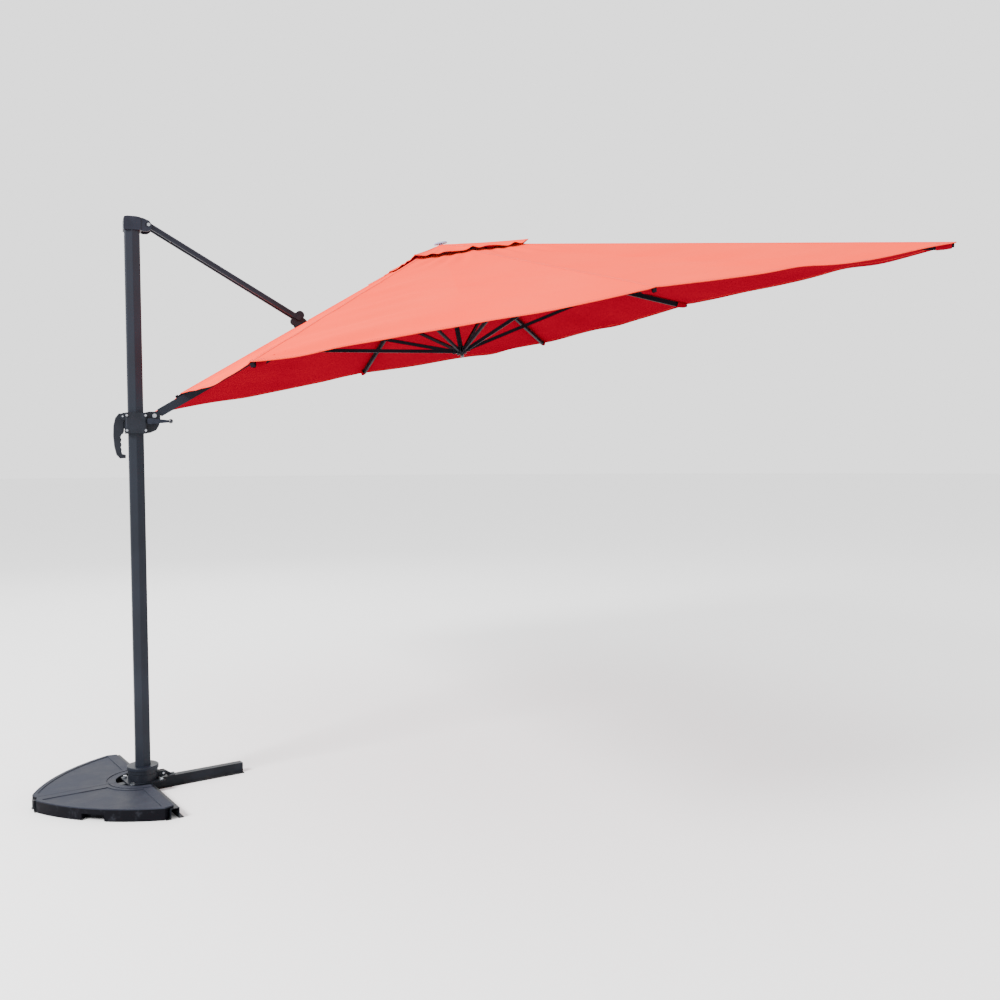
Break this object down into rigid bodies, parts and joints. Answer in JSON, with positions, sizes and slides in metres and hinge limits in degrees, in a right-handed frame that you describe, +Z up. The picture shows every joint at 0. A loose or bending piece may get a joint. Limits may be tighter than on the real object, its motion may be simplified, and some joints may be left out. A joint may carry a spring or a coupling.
{
  "type": "cantilever parasol",
  "caption": "Free-arm garden parasol: rectangular vented canopy on a folding boom and stay, a sliding carriage with crank, and a turning mast on a weighted cross base.",
  "frame": {"origin": "mast axis on the ground", "axes": "+X runs out from the mast under the boom, +Y across the canopy's long side, +Z up"},
  "size_m": [3.6487, 4.002, 2.7834],
  "materials": {
    "powder_coat": "satin",
    "alu_tube": "satin",
    "steel_coat": "matte",
    "cast_plastic": "satin",
    "slab_plastic": "matte",
    "concrete": "matte",
    "steel": "satin",
    "cloth": "matte",
    "cord": "matte",
    "knob_gloss": "gloss"
  },
  "bodies": {
    "base": {"cross_beam_long": "steel_coat", "cross_beam_short": "steel_coat", "slab_rear": "slab_plastic", "slab_front": "slab_plastic", "slab_fillings": "concrete", "foot_plate": "powder_coat", "foot_bolts": "steel", "foot_collar": "cast_plastic", "mast_spindle": "powder_coat", "pedal_pin": "steel"},
    "pedal": {"swivel_pedal": "steel_coat"},
    "mast": {"mast_flange": "powder_coat", "mast_bush": "cast_plastic", "mast_tube": "alu_tube", "mast_cap": "cast_plastic", "stay_top_pin": "steel"},
    "stay": {"stay_bars": "alu_tube", "stay_spacer": "cast_plastic", "stay_end_studs": "steel"},
    "carriage": {"carriage_shell_near": "cast_plastic", "carriage_shell_far": "cast_plastic", "carriage_screws": "steel", "carriage_liner": "cast_plastic", "boom_pivot_pin": "steel", "handle_pin": "steel", "brake_shoe": "cast_plastic"},
    "handle": {"release_handle": "cast_plastic"},
    "crank": {"winch_drum": "cast_plastic", "crank_arm": "cast_plastic"},
    "knob": {"crank_knob": "knob_gloss"},
    "boom": {"boom_tube": "alu_tube", "stay_bracket": "alu_tube", "canopy_rail": "alu_tube", "strut_lug": "alu_tube", "lift_cord": "cord"},
    "hub": {"hub": "cast_plastic", "rib_pins": "steel", "hub_pin": "steel", "pole": "alu_tube", "pole_ball": "knob_gloss", "finial": "cast_plastic", "canopy": "cloth", "vent_flap": "cloth"},
    "runner": {"runner": "cast_plastic"},
    "rib_far_left": {"rib_far_left": "alu_tube"},
    "strut_far_left": {"strut_far_left": "alu_tube"},
    "rib_left": {"rib_left": "alu_tube"},
    "strut_left": {"strut_left": "alu_tube"},
    "rib_mast_left": {"rib_mast_left": "alu_tube"},
    "strut_mast_left": {"strut_mast_left": "alu_tube"},
    "rib_mast_right": {"rib_mast_right": "alu_tube"},
    "strut_mast_right": {"strut_mast_right": "alu_tube"},
    "rib_right": {"rib_right": "alu_tube"},
    "strut_right": {"strut_right": "alu_tube"},
    "rib_far_right": {"rib_far_right": "alu_tube"},
    "strut_far_right": {"strut_far_right": "alu_tube"},
    "rib_far": {"rib_far": "alu_tube"},
    "strut_far": {"strut_far": "alu_tube"},
    "strut_mast": {"strut_mast": "alu_tube"}
  },
  "joints": [
    {"name": "mast_swivel", "type": "hinge", "parent": "base", "child": "mast", "pos_m": [0, 0, 0.11], "axis": [0, 0, 1], "continuous": true},
    {"name": "pedal_press", "type": "hinge", "parent": "base", "child": "pedal", "pos_m": [0.094, 0, 0.076], "axis": [0, 1, 0], "range_deg": [0, 8], "stiffness_Nm_per_rad": 4, "springref_deg": -11.46},
    {"name": "fold", "type": "slide", "parent": "mast", "child": "carriage", "axis": [0, 0, -1], "range_m": [0, 0.77862], "deforming": ["canopy", "vent_flap"]},
    {"name": "boom_hinge", "type": "hinge", "parent": "carriage", "child": "boom", "pos_m": [0.085, 0, 1.828], "axis": [0, -1, 0], "range_deg": [0, 55.24]},
    {"name": "stay_hinge", "type": "hinge", "parent": "mast", "child": "stay", "pos_m": [0.075, 0, 2.74], "axis": [0, 1, 0], "range_deg": [0, 60.51]},
    {"name": "hub_hinge", "type": "hinge", "parent": "boom", "child": "hub", "pos_m": [1.47868, 0, 2.67486], "axis": [0, 1, 0], "range_deg": [0, 66.64]},
    {"name": "runner_slide", "type": "slide", "parent": "hub", "child": "runner", "axis": [0.1977, 0, -0.9803], "range_m": [0, 1.35051]},
    {"name": "rib_far_left_hinge", "type": "hinge", "parent": "hub", "child": "rib_far_left", "pos_m": [1.62109, 0.05606, 2.73213], "axis": [-0.7851, 0.5988, -0.1583], "range_deg": [0, 77.51]},
    {"name": "strut_far_left_hinge", "type": "hinge", "parent": "rib_far_left", "child": "strut_far_left", "pos_m": [2.1862, 0.76658, 2.617], "axis": [-0.7851, 0.5988, -0.1583], "range_deg": [-148.8, 0]},
    {"name": "rib_left_hinge", "type": "hinge", "parent": "hub", "child": "rib_left", "pos_m": [1.58, 0.07, 2.72385], "axis": [-0.9803, 0, -0.1977], "range_deg": [0, 75.03]},
    {"name": "strut_left_hinge", "type": "hinge", "parent": "rib_left", "child": "strut_left", "pos_m": [1.63251, 0.95783, 2.46343], "axis": [-0.9803, 0, -0.1977], "range_deg": [-148.67, 0]},
    {"name": "rib_mast_left_hinge", "type": "hinge", "parent": "hub", "child": "rib_mast_left", "pos_m": [1.53891, 0.05606, 2.71556], "axis": [-0.7851, -0.5988, -0.1583], "range_deg": [0, 77.51]},
    {"name": "strut_mast_left_hinge", "type": "hinge", "parent": "rib_mast_left", "child": "strut_mast_left", "pos_m": [1.06258, 0.76658, 2.39043], "axis": [-0.7851, -0.5988, -0.1583], "range_deg": [-148.8, 0]},
    {"name": "rib_mast_right_hinge", "type": "hinge", "parent": "hub", "child": "rib_mast_right", "pos_m": [1.53891, -0.05606, 2.71556], "axis": [0.7851, -0.5988, 0.1583], "range_deg": [0, 77.51]},
    {"name": "strut_mast_right_hinge", "type": "hinge", "parent": "rib_mast_right", "child": "strut_mast_right", "pos_m": [1.06258, -0.76658, 2.39043], "axis": [0.7851, -0.5988, 0.1583], "range_deg": [-148.8, 0]},
    {"name": "rib_right_hinge", "type": "hinge", "parent": "hub", "child": "rib_right", "pos_m": [1.58, -0.07, 2.72385], "axis": [0.9803, 0, 0.1977], "range_deg": [0, 75.03]},
    {"name": "strut_right_hinge", "type": "hinge", "parent": "rib_right", "child": "strut_right", "pos_m": [1.63251, -0.95783, 2.46343], "axis": [0.9803, 0, 0.1977], "range_deg": [-148.67, 0]},
    {"name": "rib_far_right_hinge", "type": "hinge", "parent": "hub", "child": "rib_far_right", "pos_m": [1.62109, -0.05606, 2.73213], "axis": [0.7851, 0.5988, 0.1583], "range_deg": [0, 77.51]},
    {"name": "strut_far_right_hinge", "type": "hinge", "parent": "rib_far_right", "child": "strut_far_right", "pos_m": [2.1862, -0.76658, 2.617], "axis": [0.7851, 0.5988, 0.1583], "range_deg": [-148.8, 0]},
    {"name": "rib_far_hinge", "type": "hinge", "parent": "hub", "child": "rib_far", "pos_m": [1.64862, 0, 2.73768], "axis": [0, 1, 0], "range_deg": [0, 70.09]},
    {"name": "strut_far_hinge", "type": "hinge", "parent": "rib_far", "child": "strut_far", "pos_m": [2.58411, 0, 2.5701], "axis": [0, 1, 0], "range_deg": [-148.6, 0]},
    {"name": "strut_mast_hinge", "type": "hinge", "parent": "boom", "child": "strut_mast", "pos_m": [0.70887, 0, 2.16847], "axis": [0, -1, 0], "range_deg": [-141.17, 0]},
    {"name": "crank_turn", "type": "hinge", "parent": "carriage", "child": "crank", "pos_m": [0.064, -0.067, 1.8], "axis": [0, -1, 0], "continuous": true},
    {"name": "knob_spin", "type": "hinge", "parent": "crank", "child": "knob", "pos_m": [0.154, -0.088, 1.8], "axis": [0, -1, 0], "continuous": true},
    {"name": "handle_pull", "type": "hinge", "parent": "carriage", "child": "handle", "pos_m": [-0.06, 0, 1.824], "axis": [0, 1, 0], "range_deg": [0, 12], "stiffness_Nm_per_rad": 6, "springref_deg": -14.32}
  ],
  "couplings": [
    {"joint": "boom_hinge", "follows": "fold", "rad_per_m": 1.2377},
    {"joint": "stay_hinge", "follows": "fold", "rad_per_m": 1.356},
    {"joint": "hub_hinge", "follows": "fold", "rad_per_m": 1.4932},
    {"joint": "runner_slide", "follows": "fold", "ratio": 1.7339},
    {"joint": "rib_far_left_hinge", "follows": "fold", "rad_per_m": 1.7369},
    {"joint": "strut_far_left_hinge", "follows": "fold", "rad_per_m": -3.3349},
    {"joint": "rib_left_hinge", "follows": "fold", "rad_per_m": 1.6814},
    {"joint": "strut_left_hinge", "follows": "fold", "rad_per_m": -3.3321},
    {"joint": "rib_mast_left_hinge", "follows": "fold", "rad_per_m": 1.7369},
    {"joint": "strut_mast_left_hinge", "follows": "fold", "rad_per_m": -3.3349},
    {"joint": "rib_mast_right_hinge", "follows": "fold", "rad_per_m": 1.7369},
    {"joint": "strut_mast_right_hinge", "follows": "fold", "rad_per_m": -3.3349},
    {"joint": "rib_right_hinge", "follows": "fold", "rad_per_m": 1.6814},
    {"joint": "strut_right_hinge", "follows": "fold", "rad_per_m": -3.3321},
    {"joint": "rib_far_right_hinge", "follows": "fold", "rad_per_m": 1.7369},
    {"joint": "strut_far_right_hinge", "follows": "fold", "rad_per_m": -3.3349},
    {"joint": "rib_far_hinge", "follows": "fold", "rad_per_m": 1.5707},
    {"joint": "strut_far_hinge", "follows": "fold", "rad_per_m": -3.3304},
    {"joint": "strut_mast_hinge", "follows": "fold", "rad_per_m": -3.164},
    {"joint": "crank_turn", "follows": "fold", "rad_per_m": 64.557}
  ]
}
